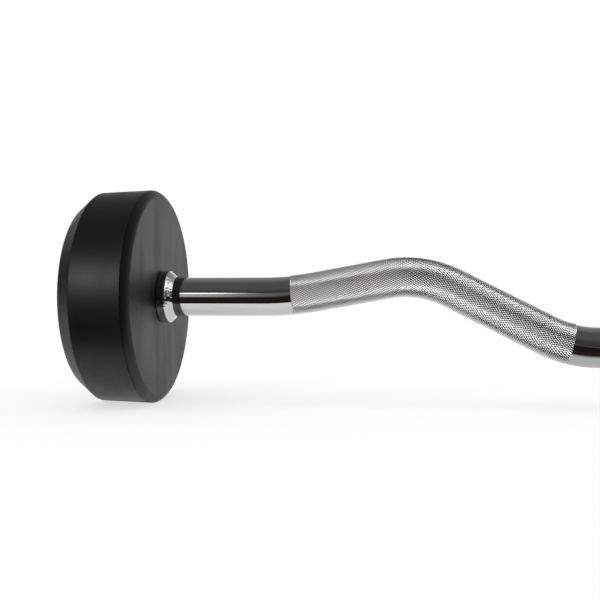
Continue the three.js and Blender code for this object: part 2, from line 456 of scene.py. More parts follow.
right_lights_left = 0.3
right_front_step = 0.7
right_front_height = 1.5
right_front_glow = [
    *even(0, right_front_step, 5.0),
    *even(right_front_step + lift, right_front_height, 0.5),
]
grip_light(
    "right_front_light",
    front_corners(right_lights_left, room_side, 0, right_front_height, room_front + lift),
    "Z",
    right_front_glow,
)

side_step = 0.8
left_side_back = -0.8
left_side_glow = [*even(0, side_step, 1.0), *even(side_step + lift, ceiling_height, 1.2)]
right_side_level = 2.6
right_back_level = 0.7
grip_light(
    "left_side_light",
    side_corners(room_front, left_side_back, 0, ceiling_height, lift - room_side),
    "Z",
    left_side_glow,
)
grip_light(
    "right_side_light",
    side_corners(room_front, right_wall_front, 0, side_step, room_side - lift),
    "Z",
    even(0, side_step, right_side_level),
)
grip_light(
    "right_back_light",
    side_corners(right_wall_front, right_wall_back, side_step, ceiling_height, room_side - lift),
    "Z",
    even(side_step, ceiling_height, right_back_level),
)

left_ceiling_right = -0.8
left_ceiling_back = -1.2
left_ceiling_level = 1.1
middle_ceiling_left = -0.3
middle_ceiling_right = 0.8
middle_ceiling_level = 0.6
right_ceiling_back = 1.3
right_ceiling_level = 0.54
grip_light(
    "left_ceiling_light",
    level_corners(-room_side, left_ceiling_right, room_front, left_ceiling_back, under_ceiling),
    "X",
    even(-room_side, left_ceiling_right, left_ceiling_level),
)
grip_light(
    "middle_ceiling_light",
    level_corners(
        middle_ceiling_left,
        middle_ceiling_right,
        left_ceiling_back,
        right_ceiling_back,
        under_ceiling,
    ),
    "X",
    even(middle_ceiling_left, middle_ceiling_right, middle_ceiling_level),
)
grip_light(
    "right_ceiling_light",
    level_corners(middle_ceiling_right, room_side, 0, right_ceiling_back, under_ceiling),
    "X",
    even(middle_ceiling_right, room_side, right_ceiling_level),
)

middle_floor_left = -0.9
floor_far_step = -0.9
floor_near_step = -0.3
middle_floor_glow = [
    *even(room_front, floor_far_step, 2.7),
    *even(floor_far_step + lift, floor_near_step, 0.43),
    *even(floor_near_step + lift, sweep_front, 0.34),
]
right_floor_level = 6.0
under_left = -0.5
under_front = -0.04
under_level = 0.4
grip_light(
    "middle_floor_light",
    level_corners(middle_floor_left, right_lights_left, room_front, sweep_front, lift),
    "Y",
    middle_floor_glow,
)
grip_light(
    "right_floor_light",
    level_corners(right_lights_left, room_side, floor_far_step, sweep_front, lift),
    "Y",
    even(floor_far_step, sweep_front, right_floor_level),
)
grip_light(
    "under_light",
    level_corners(under_left, right_lights_left, under_front, shade_back, lift),
    "X",
    even(under_left, right_lights_left, under_level),
)

# One broad soft lamp overhead lights the rubber and the floor, and gives the barbell its faint shadow.
overhead_level = 0.6
overhead_softness = math.radians(70)
overhead_lean = (math.radians(20), -math.radians(12), 0)
overhead = bpy.data.objects.new("overhead_light", bpy.data.lights.new("overhead_light", "SUN"))
bpy.context.scene.collection.objects.link(overhead)
overhead.data.energy = overhead_level
overhead.data.angle = overhead_softness
overhead.rotation_euler = overhead_lean
overhead.visible_glossy = False


# The bar is one 30 mm steel rod. It is turned straight first: a spigot at each end for the head, with a
# tapped hole for the bolt and two half-round grooves for the pins.
def points_between(start, end, longest):
    """Evenly spaced places from start to end, at most the longest step apart."""
    count = math.ceil(abs(end - start) / longest)
    return [start + (end - start) * i / count for i in range(count + 1)]


def turned(name, outline, sides):
    """A mesh turned about the X axis from an outline of (radius, place along X) points. An outline that
    starts and ends on the axis closes there, and any other one closes on itself."""
    shape = bmesh.new()
    turns = [2 * math.pi * i / sides for i in range(sides)]
    rings = []
    for radius, along in outline:
        if radius == 0:
            places = [(along, 0, 0)]
        else:
            places = [(along, radius * math.sin(turn), -radius * math.cos(turn)) for turn in turns]
        rings.append([shape.verts.new(place) for place in places])
    following = rings[1:] if len(rings[0]) == 1 else rings[1:] + rings[:1]
    for ring, other in zip(rings, following):
        for i in range(sides):
            j = (i + 1) % sides
            corners = [ring[i % len(ring)], ring[j % len(ring)], other[j % len(other)], other[i % len(other)]]
            shape.faces.new(list(dict.fromkeys(corners)))
    bmesh.ops.recalc_face_normals(shape, faces=shape.faces)
    mesh = bpy.data.meshes.new(name)
    shape.to_mesh(mesh)
    shape.free()
    return mesh


def add_object(name, mesh):
    made = bpy.data.objects.new(name, mesh)
    bpy.context.scene.collection.objects.link(made)
    return made


bar_radius = 0.015
bar_sides = 96
bar_station = 0.0025
shoulder_place = 0.0057
spigot_radius = 0.013
spigot_end = 0.0236
spigot_chamfer = 0.001
tapped_radius = 0.0083
tapped_depth = 0.028
drill_point = 0.0045
edge_break = 0.0003

shank_length = 0.0812
shank_bend_radius = 0.235
shank_bend = math.radians(10.2)
rise_length = 0.0533
peak_bend_radius = 0.0774
fall_angle = math.radians(27.05)
fall_length = 0.0752
centre_bend_radius = 0.0821
centre_length = 0.120
peak_bend = shank_bend + fall_angle
half_legs = [
    (spigot_end + shank_length, 0),
    (shank_bend_radius * shank_bend, shank_bend),
    (rise_length, 0),
    (peak_bend_radius * peak_bend, -peak_bend),
    (fall_length, 0),
    (centre_bend_radius * fall_angle, fall_angle),
    (centre_length / 2, 0),
]
half_length = sum(length for length, turn in half_legs)
spigot_base = half_length - spigot_end + shoulder_place
knurl_start = 0.1034
knurl_end = 0.3212
grip_inner = half_length - spigot_end - knurl_end
grip_outer = half_length - spigot_end - knurl_start
core_of_grip = 0.0146
hole_floor = half_length - tapped_depth
end_outline = [
    (bar_radius - edge_break, spigot_base),
    (spigot_radius, spigot_base),
    (spigot_radius, half_length - spigot_chamfer),
    (spigot_radius - spigot_chamfer, half_length),
    (tapped_radius, half_length),
    (tapped_radius, hole_floor),
    (0, hole_floor - drill_point),
]
shank_reach = spigot_base - edge_break
plain_outline = [
    *[(bar_radius, along) for along in points_between(0, grip_inner, bar_station)],
    *[(core_of_grip, along) for along in points_between(grip_inner, grip_outer, bar_station)],
    *[(bar_radius, along) for along in points_between(grip_outer, shank_reach, bar_station)],
]
half_outline = plain_outline + end_outline
other_half = [(radius, -along) for radius, along in reversed(half_outline[1:])]
bar_blank = add_object("bar_blank", turned("bar_blank", other_half + half_outline, bar_sides))

pin_groove_radius = 0.0023
pin_circle_radius = 0.01315
pin_groove_length = 0.017
pin_groove_sides = 24
pin_seat_inset = 0.0246
pin_seat = half_length - spigot_end + pin_seat_inset


def pin_grooves():
    """Four round cutters, one for each pin, that reach past the ends of the bar."""
    outline = [
        (0, pin_seat - pin_groove_length),
        (pin_groove_radius, pin_seat - pin_groove_length),
        (pin_groove_radius, pin_seat),
        (0, pin_seat),
    ]
    shape = bmesh.new()
    for side in (-1, 1):
        for height in (-pin_circle_radius, pin_circle_radius):
            groove = turned("groove", [(radius, side * along) for radius, along in outline], pin_groove_sides)
            groove.transform(Matrix.Translation((0, 0, height)))
            shape.from_mesh(groove)
    mesh = bpy.data.meshes.new("pin_grooves")
    shape.to_mesh(mesh)
    shape.free()
    return mesh


groove_cutters = add_object("groove_cutters", pin_grooves())
groove_cut = bar_blank.modifiers.new("pin_grooves", "BOOLEAN")
groove_cut.object = groove_cutters
groove_cut.operation = "DIFFERENCE"
groove_cut.solver = "EXACT"


# The grips are rolled into the straight rod: two crossing sets of fine grooves leave rows of small diamonds
# with flat tips. Each grip is a sleeve of them, closed underneath, that stands a little proud of the rod.
def geometry_tree(name, sockets):
    """An empty geometry tree with named inputs, each given as its kind."""
    tree = bpy.data.node_groups.new(name, "GeometryNodeTree")
    tree.interface.new_socket("Geometry", in_out="INPUT", socket_type="NodeSocketGeometry")
    for socket, kind in sockets.items():
        tree.interface.new_socket(socket, in_out="INPUT", socket_type="NodeSocket" + kind)
    tree.interface.new_socket("Geometry", in_out="OUTPUT", socket_type="NodeSocketGeometry")
    return tree, node(tree, "NodeGroupInput").outputs


def end_tree(tree, geometry, material):
    """Closes a geometry tree with real geometry and its material."""
    real = node(tree, "GeometryNodeRealizeInstances", {"Geometry": geometry})
    dressed = node(tree, "GeometryNodeSetMaterial", {"Geometry": real.outputs[0], "Material": material})
    node(tree, "NodeGroupOutput", {"Geometry": dressed.outputs[0]})


def add_tree(piece, tree, values):
    """Puts a geometry tree on a piece and sets its named inputs."""
    modifier = piece.modifiers.new(tree.name, "NODES")
    modifier.node_group = tree
    for item in tree.interface.items_tree:
        if item.item_type == "SOCKET" and item.in_out == "INPUT" and item.name in values:
            modifier[item.identifier] = values[item.name]


knurl_tree, knurl = geometry_tree(
    "roll_knurl",
    {
        "Diamonds Around": "Int",
        "Diamonds Along": "Int",
        "Length": "Float",
        "Sleeve Radius": "Float",
        "Sleeve Wall": "Float",
        "Diamond Height": "Float",
        "Tip Share": "Float",
        "Weld": "Float",
        "Material": "Material",
    },
)


def xyz(tree, x=0.0, y=0.0, z=0.0):
    return node(tree, "ShaderNodeCombineXYZ", {"X": x, "Y": y, "Z": z}).outputs[0]


around_pitch = maths(
    knurl_tree,
    "DIVIDE",
    maths(knurl_tree, "MULTIPLY", knurl["Sleeve Radius"], math.tau),
    knurl["Diamonds Around"],
)
along_pitch = maths(knurl_tree, "DIVIDE", knurl["Length"], knurl["Diamonds Along"])
diamond = node(knurl_tree, "GeometryNodeMeshCircle", {"Vertices": 4, "Radius": 0.5}, fill_type="NGON")
diamond = node(
    knurl_tree,
    "GeometryNodeTransform",
    {"Geometry": diamond.outputs[0], "Scale": xyz(knurl_tree, along_pitch, around_pitch, 1.0)},
)
around_reach = maths(
    knurl_tree, "MULTIPLY", around_pitch, maths(knurl_tree, "SUBTRACT", knurl["Diamonds Around"], 1.0)
)
first_rows = node(
    knurl_tree,
    "GeometryNodeMeshGrid",
    {
        "Size X": maths(knurl_tree, "SUBTRACT", knurl["Length"], along_pitch),
        "Size Y": around_reach,
        "Vertices X": knurl["Diamonds Along"],
        "Vertices Y": knurl["Diamonds Around"],
    },
)
second_rows = node(
    knurl_tree,
    "GeometryNodeMeshGrid",
    {
        "Size X": knurl["Length"],
        "Size Y": around_reach,
        "Vertices X": maths(knurl_tree, "ADD", knurl["Diamonds Along"], 1.0),
        "Vertices Y": knurl["Diamonds Around"],
    },
)
half_step = maths(knurl_tree, "MULTIPLY", around_pitch, 0.5)
second_rows = node(
    knurl_tree,
    "GeometryNodeTransform",
    {"Geometry": second_rows.outputs[0], "Translation": xyz(knurl_tree, y=half_step)},
)
both_rows = node(knurl_tree, "GeometryNodeJoinGeometry")
knurl_tree.links.new(first_rows.outputs[0], both_rows.inputs[0])
knurl_tree.links.new(second_rows.outputs[0], both_rows.inputs[0])
diamonds = node(
    knurl_tree,
    "GeometryNodeInstanceOnPoints",
    {"Points": both_rows.outputs[0], "Instance": diamond.outputs[0]},
)
flat_sheet = node(knurl_tree, "GeometryNodeRealizeInstances", {"Geometry": diamonds.outputs[0]})

# The flat sheet of diamonds is cut off square at both ends and rolled up into a tube.
flat_place = split(knurl_tree, node(knurl_tree, "GeometryNodeInputPosition").outputs[0])
half_grip = maths(knurl_tree, "MULTIPLY", knurl["Length"], 0.5)
cut_place = maths(
    knurl_tree,
    "MAXIMUM",
    maths(knurl_tree, "MINIMUM", flat_place["X"], half_grip),
    maths(knurl_tree, "MULTIPLY", half_grip, -1.0),
)
minus_radius = maths(knurl_tree, "MULTIPLY", knurl["Sleeve Radius"], -1.0)
roll_angle = maths(knurl_tree, "DIVIDE", flat_place["Y"], minus_radius)
rolled_place = xyz(
    knurl_tree,
    cut_place,
    maths(knurl_tree, "MULTIPLY", knurl["Sleeve Radius"], maths(knurl_tree, "COSINE", roll_angle)),
    maths(knurl_tree, "MULTIPLY", knurl["Sleeve Radius"], maths(knurl_tree, "SINE", roll_angle)),
)
rolled = node(
    knurl_tree, "GeometryNodeSetPosition", {"Geometry": flat_sheet.outputs[0], "Position": rolled_place}
)
rolled = node(
    knurl_tree, "GeometryNodeMergeByDistance", {"Geometry": rolled.outputs[0], "Distance": knurl["Weld"]}
)

# The tube gets its wall, then each diamond is raised on its own and drawn in to a flat tip.
inside = node(knurl_tree, "GeometryNodeFlipFaces", {"Mesh": rolled.outputs[0]})
outside = node(
    knurl_tree,
    "GeometryNodeExtrudeMesh",
    {"Mesh": rolled.outputs[0], "Offset Scale": knurl["Sleeve Wall"], "Individual": False},
    mode="FACES",
)
raised = node(
    knurl_tree,
    "GeometryNodeExtrudeMesh",
    {
        "Mesh": outside.outputs["Mesh"],
        "Selection": outside.outputs["Top"],
        "Offset Scale": knurl["Diamond Height"],
        "Individual": True,
    },
    mode="FACES",
)
tips = node(
    knurl_tree,
    "GeometryNodeScaleElements",
    {
        "Geometry": raised.outputs["Mesh"],
        "Selection": raised.outputs["Top"],
        "Scale": knurl["Tip Share"],
    },
    domain="FACE",
)
marked = node(
    knurl_tree,
    "GeometryNodeStoreNamedAttribute",
    {
        "Geometry": tips.outputs[0],
        "Selection": raised.outputs["Top"],
        "Name": "knurl_tip",
        "Value": 1.0,
    },
    data_type="FLOAT",
    domain="POINT",
)
sleeve = node(knurl_tree, "GeometryNodeJoinGeometry")
knurl_tree.links.new(marked.outputs[0], sleeve.inputs[0])
knurl_tree.links.new(inside.outputs[0], sleeve.inputs[0])
closed_sleeve = node(
    knurl_tree, "GeometryNodeMergeByDistance", {"Geometry": sleeve.outputs[0], "Distance": knurl["Weld"]}
)
end_tree(knurl_tree, closed_sleeve.outputs[0], knurl["Material"])

# The straight rod and its grips are then bent together along the bar's line. Each point keeps its straight
# place as an attribute, so that the marks of polishing and plating follow the bends.
bend_tree, bend = geometry_tree(
    "bend_bar",
    {"Line": "Object", "Half Length": "Float", "Straight Place": "Float", "Material": "Material"},
)
straight = node(bend_tree, "GeometryNodeInputPosition").outputs[0]
moved = node(
    bend_tree,
    "ShaderNodeVectorMath",
    {0: straight, 1: xyz(bend_tree, bend["Straight Place"])},
    operation="ADD",
)
kept_place = node(
    bend_tree,
    "GeometryNodeStoreNamedAttribute",
    {"Geometry": bend["Geometry"], "Name": "straight_place", "Value": moved.outputs[0]},
    data_type="FLOAT_VECTOR",
    domain="POINT",
)
straight_xyz = split(bend_tree, moved.outputs[0])
line = node(bend_tree, "GeometryNodeObjectInfo", {"Object": bend["Line"]}, transform_space="ORIGINAL")
on_line = node(
    bend_tree,
    "GeometryNodeSampleCurve",
    {
        "Curves": line.outputs["Geometry"],
        "Length": maths(bend_tree, "ADD", straight_xyz["X"], bend["Half Length"]),
    },
    mode="LENGTH",
    use_all_curves=True,
)
across = node(
    bend_tree,
    "ShaderNodeVectorMath",
    {0: on_line.outputs["Tangent"], 1: (0.0, 1.0, 0.0)},
    operation="CROSS_PRODUCT",
)
lifted = node(
    bend_tree,
    "ShaderNodeVectorMath",
    {0: across.outputs[0], "Scale": straight_xyz["Z"]},
    operation="SCALE",
)
section = node(
    bend_tree,
    "ShaderNodeVectorMath",
    {0: lifted.outputs[0], 1: xyz(bend_tree, y=straight_xyz["Y"])},
    operation="ADD",
)
bent_place = node(
    bend_tree,
    "ShaderNodeVectorMath",
    {0: on_line.outputs["Position"], 1: section.outputs[0]},
    operation="ADD",
)
bent = node(
    bend_tree,
    "GeometryNodeSetPosition",
    {"Geometry": kept_place.outputs[0], "Position": bent_place.outputs[0]},
)
end_tree(bend_tree, bent.outputs[0], bend["Material"])


def bar_line(step):
    """Points a step apart along the bar's centreline: straights and the arcs that join them."""
    points = [Vector((-face_x - spigot_end, 0, axis_height))]
    slope = 0
    legs = half_legs + half_legs[::-1]
    for length, turn in legs:
        count = math.ceil(length / step)
        for i in range(count):
            middle = slope + turn * (i + 0.5) / count
            points.append(points[-1] + Vector((math.cos(middle), 0, math.sin(middle))) * (length / count))
        slope += turn
    return points


line_step = 0.001
line_data = bpy.data.curves.new("bar_line", "CURVE")
line_data.dimensions = "3D"
line_points = bar_line(line_step)
spline = line_data.splines.new("POLY")
spline.points.add(len(line_points) - 1)
for point, place in zip(spline.points, line_points):
    point.co = (*place, 1)
line_object = add_object("bar_line", line_data)


# The shader groups that the metals and rubbers share. Fine grain is a small even texture, and handling marks
# are soft patches broken up by thin scuffs.
def shader_group(name, inputs, outputs):
    tree = bpy.data.node_groups.new(name, "ShaderNodeTree")
    for socket, kind in inputs.items():
        tree.interface.new_socket(socket, in_out="INPUT", socket_type="NodeSocket" + kind)
    for socket, kind in outputs.items():
        tree.interface.new_socket(socket, in_out="OUTPUT", socket_type="NodeSocket" + kind)
    return tree, node(tree, "NodeGroupInput").outputs


def noise(tree, vector, scale, detail=2.0, roughness=0.5):
    made = node(
        tree,
        "ShaderNodeTexNoise",
        {"Vector": vector, "Scale": scale, "Detail": detail, "Roughness": roughness},
    )
    return made.outputs["Fac"]


fineness = 3.7
fine_share = 0.35
grain_tree, grain_in = shader_group("fine_grain", {"Place": "Vector", "Scale": "Float"}, {"Height": "Float"})
coarse_grain = noise(grain_tree, grain_in["Place"], grain_in["Scale"], detail=3.0, roughness=0.6)
fine_scale = maths(grain_tree, "MULTIPLY", grain_in["Scale"], fineness)
fine_grain = noise(grain_tree, grain_in["Place"], fine_scale, detail=1.0)
both_grains = maths(grain_tree, "MULTIPLY_ADD", fine_grain, fine_share, coarse_grain)
node(grain_tree, "NodeGroupOutput", {"Height": both_grains})

marks_tree, marks_in = shader_group(
    "handling_marks",
    {"Place": "Vector", "Patch Scale": "Float", "Scuff Scale": "Float"},
    {"Patches": "Float", "Scuffs": "Float"},
)


def mask(tree, value, low, high):
    """0 where a value is low, 1 where it is high, and smooth between."""
    made = node(
        tree,
        "ShaderNodeMapRange",
        {"Value": value, "From Min": low, "From Max": high},
        interpolation_type="SMOOTHSTEP",
    )
    return made.outputs[0]


patch_noise = noise(marks_tree, marks_in["Place"], marks_in["Patch Scale"], detail=4.0, roughness=0.55)
scuff_noise = noise(marks_tree, marks_in["Place"], marks_in["Scuff Scale"], detail=5.0, roughness=0.7)
patches = mask(marks_tree, patch_noise, low=0.38, high=0.66)
scuffs = mask(marks_tree, scuff_noise, low=0.56, high=0.74)
node(marks_tree, "NodeGroupOutput", {"Patches": patches, "Scuffs": scuffs})


def place_of(tree, stretch=(1, 1, 1), attribute=None):
    """Object coordinates, or an attribute's, with the pattern's stretch along each axis."""
    if attribute:
        place = node(tree, "ShaderNodeAttribute", attribute_name=attribute).outputs["Vector"]
    else:
        place = node(tree, "ShaderNodeTexCoord").outputs["Object"]
    return node(tree, "ShaderNodeMapping", {"Vector": place, "Scale": stretch}).outputs[0]


def use_group(tree, group, inputs):
    return node(tree, "ShaderNodeGroup", inputs, node_tree=group).outputs


def ranged(tree, value, low, high):
    """A mask from 0 to 1 turned into a value from low to high."""
    return node(tree, "ShaderNodeMapRange", {"Value": value, "To Min": low, "To Max": high}).outputs[0]


def blended(tree, share, first, second):
    """A colour between two, by a mask."""
    return node(tree, "ShaderNodeMix", {0: share, 6: first, 7: second}, data_type="RGBA").outputs[2]


def bump(tree, height, distance):
    made = node(tree, "ShaderNodeBump", {"Height": height, "Distance": distance, "Strength": 1.0})
    return made.outputs[0]


def principled(tree, inputs):
    shader = node(tree, "ShaderNodeBsdfPrincipled", inputs)
    close(tree, shader.outputs[0])


# Bright chrome plate on ground steel: a mirror with the faintest draw of polishing round the bar, a slight
# waviness of the ground rod, and dull smears where it is held and racked. A collar's outer rim is duller.
plate_bright = (0.570, 0.570, 0.570, 1)
plate_smeared = (0.540, 0.540, 0.541, 1)
smear_stretch = (0.35, 1, 1)
polish_stretch = (1, 0.04, 0.04)
ripple_stretch = (0.25, 1, 1)
polish_scale = 2600.0
polish_depth = 0.000002
rim_start = 0.0196
rim_full = 0.0201


def chrome_plate(name, attribute, shine, dullness, waviness, ripple_scale, dull_rim=0.0):
    """Chrome whose roughness goes from shine to dullness in the smears, with dull_rim added on the rim.
    Waviness is how many times deeper the ripples are than the draw of polishing."""
    made = empty_material(name)
    tree = made.node_tree
    marks = use_group(
        tree,
        marks_tree,
        {"Place": place_of(tree, smear_stretch, attribute), "Patch Scale": 38.0, "Scuff Scale": 420.0},
    )
    polish = noise(tree, place_of(tree, polish_stretch, attribute), polish_scale)
    ripple = noise(tree, place_of(tree, ripple_stretch, attribute), ripple_scale, detail=1.0)
    height = maths(tree, "MULTIPLY_ADD", ripple, waviness, polish)
    from_axis = node(
        tree,
        "ShaderNodeVectorMath",
        {0: node(tree, "ShaderNodeTexCoord").outputs["Object"], 1: (0, 1, 1), 2: (0, 0, -axis_height)},
        operation="MULTIPLY_ADD",
    )
    radius = node(tree, "ShaderNodeVectorMath", {0: from_axis.outputs[0]}, operation="LENGTH")
    rim = node(
        tree,
        "ShaderNodeMapRange",
        {"Value": radius.outputs["Value"], "From Min": rim_start, "From Max": rim_full, "To Max": dull_rim},
    )
    roughness = maths(tree, "ADD", ranged(tree, marks["Patches"], shine, dullness), rim.outputs[0])
    principled(
        tree,
        {
            "Base Color": blended(tree, marks["Patches"], plate_bright, plate_smeared),
            "Metallic": 1.0,
            "Roughness": roughness,
            "Normal": bump(tree, height, polish_depth),
        },
    )
    return made


bar_chrome = chrome_plate(
    "bar_chrome", "straight_place", shine=0.035, dullness=0.085, waviness=14.0, ripple_scale=90.0
)
collar_chrome = chrome_plate(
    "collar_chrome", None, shine=0.05, dullness=0.12, waviness=230.0, ripple_scale=420.0, dull_rim=0.1
)


# The plating over the knurl: the flat tips are painted near white as a painted glint, and the grooves near
# black as painted shade.
# Patches where oil and dust from hands stay make it duller, and the painted shade in the grooves a little
# greyer.
# A painted glint on the tips, and painted shade in the grooves that is a little greyer where dusty.
tip_painted_glint = (0.97, 0.97, 0.975, 1)
groove_painted_shade = (0.035, 0.035, 0.035, 1)
groove_painted_shade_dusty = (0.06, 0.06, 0.06, 1)
knurl_stretch = (0.5, 1, 1)
knurl_shine = 0.26
knurl_dullness = 0.34
knurl_bite = 0.00005


def knurled_chrome():
    made = empty_material("knurled_chrome")
    tree = made.node_tree
    tip = node(tree, "ShaderNodeAttribute", attribute_name="knurl_tip").outputs["Fac"]
    place = place_of(tree, knurl_stretch, "straight_place")
    marks = use_group(tree, marks_tree, {"Place": place, "Patch Scale": 60.0, "Scuff Scale": 500.0})
    grooves = blended(tree, marks["Patches"], groove_painted_shade, groove_painted_shade_dusty)
    principled(
        tree,
        {
            # The tip mask sets the painted glint on the tips and the painted shade in the grooves.
            "Base Color": blended(tree, mask(tree, tip, low=0.20, high=0.70), grooves, tip_painted_glint),
            "Metallic": 1.0,
            "Roughness": ranged(tree, marks["Patches"], knurl_shine, knurl_dullness),
            "Normal": bump(tree, mask(tree, tip, low=0.0, high=1.0), knurl_bite),
        },
    )
    return made


knurl_chrome = knurled_chrome()
knurl_height = 0.00038
knurl_depth = 0.00001
knurl_wall = 0.00025
sleeve_radius = bar_radius - knurl_depth - knurl_wall
diamonds_around = 55
diamonds_along = 80
tip_share = 0.14
grip_length = grip_outer - grip_inner
grip_middle = (grip_outer + grip_inner) / 2
weld_distance = 0.00001


def bent_mesh(piece, name, middle, material):
    """Bends a straight piece along the bar's line and gives its plain mesh."""
    add_tree(
        piece,
        bend_tree,
        {"Line": line_object, "Half Length": half_length, "Straight Place": middle, "Material": material},
    )
    evaluated = piece.evaluated_get(bpy.context.evaluated_depsgraph_get())
    mesh = bpy.data.meshes.new_from_object(evaluated)
    mesh.name = name
    bpy.data.objects.remove(piece)
    return mesh


crease = math.radians(28)


def fit(piece, solid, sharp=crease):
    """Shades a finished piece, ties it to its body, and hides the plain solid that it stands for."""
    piece.data.shade_smooth()
    piece.data.set_sharp_from_angle(angle=sharp)
    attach(piece, "root")
    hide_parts(solid)


bar = add_object("chromed_bar", bent_mesh(bar_blank, "chromed_bar", 0.0, bar_chrome))
bpy.data.objects.remove(groove_cutters)
fit(bar, "bar")

ends = {"left": -1, "right": 1}
for side, way in ends.items():
    blank = add_object(side + "_grip", bpy.data.meshes.new(side + "_grip"))
    add_tree(
        blank,
        knurl_tree,
        {
            "Diamonds Around": diamonds_around,
            "Diamonds Along": diamonds_along,
            "Length": grip_length,
            "Sleeve Radius": sleeve_radius,
            "Sleeve Wall": knurl_wall,
            "Diamond Height": knurl_height + knurl_depth,
            "Tip Share": tip_share,
            "Weld": weld_distance,
            "Material": knurl_chrome,
        },
    )
    mesh = bent_mesh(blank, side + "_knurled_grip", way * grip_middle, knurl_chrome)
    grip = add_object(side + "_knurled_grip", mesh)
    only_grips.objects.link(grip)
    all_but_grips.objects.link(grip)
    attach(grip, "root")
bpy.data.objects.remove(line_object)
for member in all_but_grips.collection_objects:
    member.light_linking.link_state = "EXCLUDE"


# A turned steel collar, chromed, is pushed over the bar against each head. Its short rim is a plain cylinder,
# and the side towards the grips is a steep cone.
fillet_steps = 5
fillet_hold = 0.00015


def rounded(corners):
    """Outline points in which each corner of (radius, place along, fillet) is eased by an arc, with one more
    point just before and after it that keeps the flats flat."""
    points = []
    for i, (radius, along, fillet) in enumerate(corners):
        corner = Vector((radius, along))
        if fillet == 0:
            points.append(corner)
            continue
        before = (Vector(corners[i - 1][:2]) - corner).normalized()
        after = (Vector(corners[(i + 1) % len(corners)][:2]) - corner).normalized()
        half = before.angle(after) / 2
        reach = fillet / math.tan(half)
        centre = corner + (before + after).normalized() * (fillet / math.sin(half))
        start = corner + before * reach - centre
        end = corner + after * reach - centre
        points.append(corner + before * (reach + fillet_hold))
        for step in range(fillet_steps + 1):
            points.append(centre + start.slerp(end, step / fillet_steps) * fillet)
        points.append(corner + after * (reach + fillet_hold))
    return points


def at_end(mesh, way):
    """Moves a mesh drawn outwards from a head's inner face to the bar's left or right end."""
    if way < 0:
        mesh.transform(Matrix.Rotation(math.pi, 4, "Z"))
    mesh.transform(Matrix.Translation((way * face_x, 0, axis_height)))
    return mesh


def turned_pair(name, outline, sides, material, solid, sharp=crease):
    """A turned piece at each end of the bar, in place of the plain solid."""
    pair = []
    for side, way in ends.items():
        mesh = at_end(turned(side + "_" + name, outline, sides), way)
        mesh.materials.append(material)
        piece = add_object(side + "_" + name, mesh)
        fit(piece, side + "_" + solid, sharp)
        pair.append(piece)
    return pair


fit_gap = 0.0003
collar_radius = 0.02025
collar_rim_length = 0.0066
collar_cone_depth = 0.0048
collar_land = 0.00035
collar_edge = 0.0005
collar_shoulder_fillet = 0.0016
collar_sides = 128
collar_near = -fit_gap
collar_rim_end = collar_near - collar_rim_length
collar_outline = rounded(
    [
        (bar_radius + fit_gap, collar_near, 0),
        (collar_radius, collar_near, collar_edge),
        (collar_radius, collar_rim_end, collar_shoulder_fillet),
        (collar_radius - collar_cone_depth, collar_rim_end - collar_cone_depth, collar_land / 2),
        (bar_radius + fit_gap, collar_rim_end - collar_cone_depth - collar_land, 0),
    ]
)
for collar in turned_pair("turned_collar", collar_outline, collar_sides, collar_chrome, "collar"):
    only_collars.objects.link(collar)


# Inside the rubber a cast iron core sits on the spigot. Two spring pins keep it from turning, and a bolt with
# its washers clamps it. The casting is rough and dark from the sand, the pins and the lock washer are bare
# spring steel, the flat washer is zinced and the bolt is blackened.
def worn_metal(name, dark, light, rough, smooth, grain_scale, grain_depth, metallic=1.0):
    """A plain metal: patches from dark to light, and a rough skin that scuffs have made smooth."""
    made = empty_material(name)
    tree = made.node_tree
    place = place_of(tree)
    marks = use_group(tree, marks_tree, {"Place": place, "Patch Scale": 70.0, "Scuff Scale": 600.0})
    grain = use_group(tree, grain_tree, {"Place": place, "Scale": grain_scale})
    principled(
        tree,
        {
            "Base Color": blended(tree, marks["Patches"], dark, light),
            "Metallic": metallic,
            "Roughness": ranged(tree, marks["Scuffs"], rough, smooth),
            "Normal": bump(tree, grain["Height"], grain_depth),
        },
    )
    return made


cast_iron = worn_metal(
    "cast_iron",
    dark=(0.10, 0.095, 0.09, 1),
    light=(0.16, 0.15, 0.14, 1),
    rough=0.72,
    smooth=0.5,
    grain_scale=900.0,
    grain_depth=0.00015,
)
spring_steel = worn_metal(
    "spring_steel",
    dark=(0.17, 0.16, 0.15, 1),
    light=(0.26, 0.24, 0.21, 1),
    rough=0.45,
    smooth=0.3,
    grain_scale=2500.0,
    grain_depth=0.00002,
)
zinced_steel = worn_metal(
    "zinced_steel",
    dark=(0.55, 0.56, 0.56, 1),
    light=(0.68, 0.69, 0.67, 1),
    rough=0.42,
    smooth=0.25,
    grain_scale=1800.0,
    grain_depth=0.00002,
)
black_steel = worn_metal(
    "black_steel",
    dark=(0.022, 0.022, 0.024, 1),
    light=(0.05, 0.05, 0.052, 1),
    rough=0.45,
    smooth=0.3,
    grain_scale=2200.0,
    grain_depth=0.00002,
    metallic=0.85,
)
inner_finishes = {
    "head_core": cast_iron,
    "spring_pin_top": spring_steel,
    "spring_pin_bottom": spring_steel,
    "lock_washer": spring_steel,
    "clamp_washer": zinced_steel,
    "head_bolt": black_steel,
}
for side in ends:
    for piece_name, material in inner_finishes.items():
        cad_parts[side + "_" + piece_name].material_slots[0].material = material


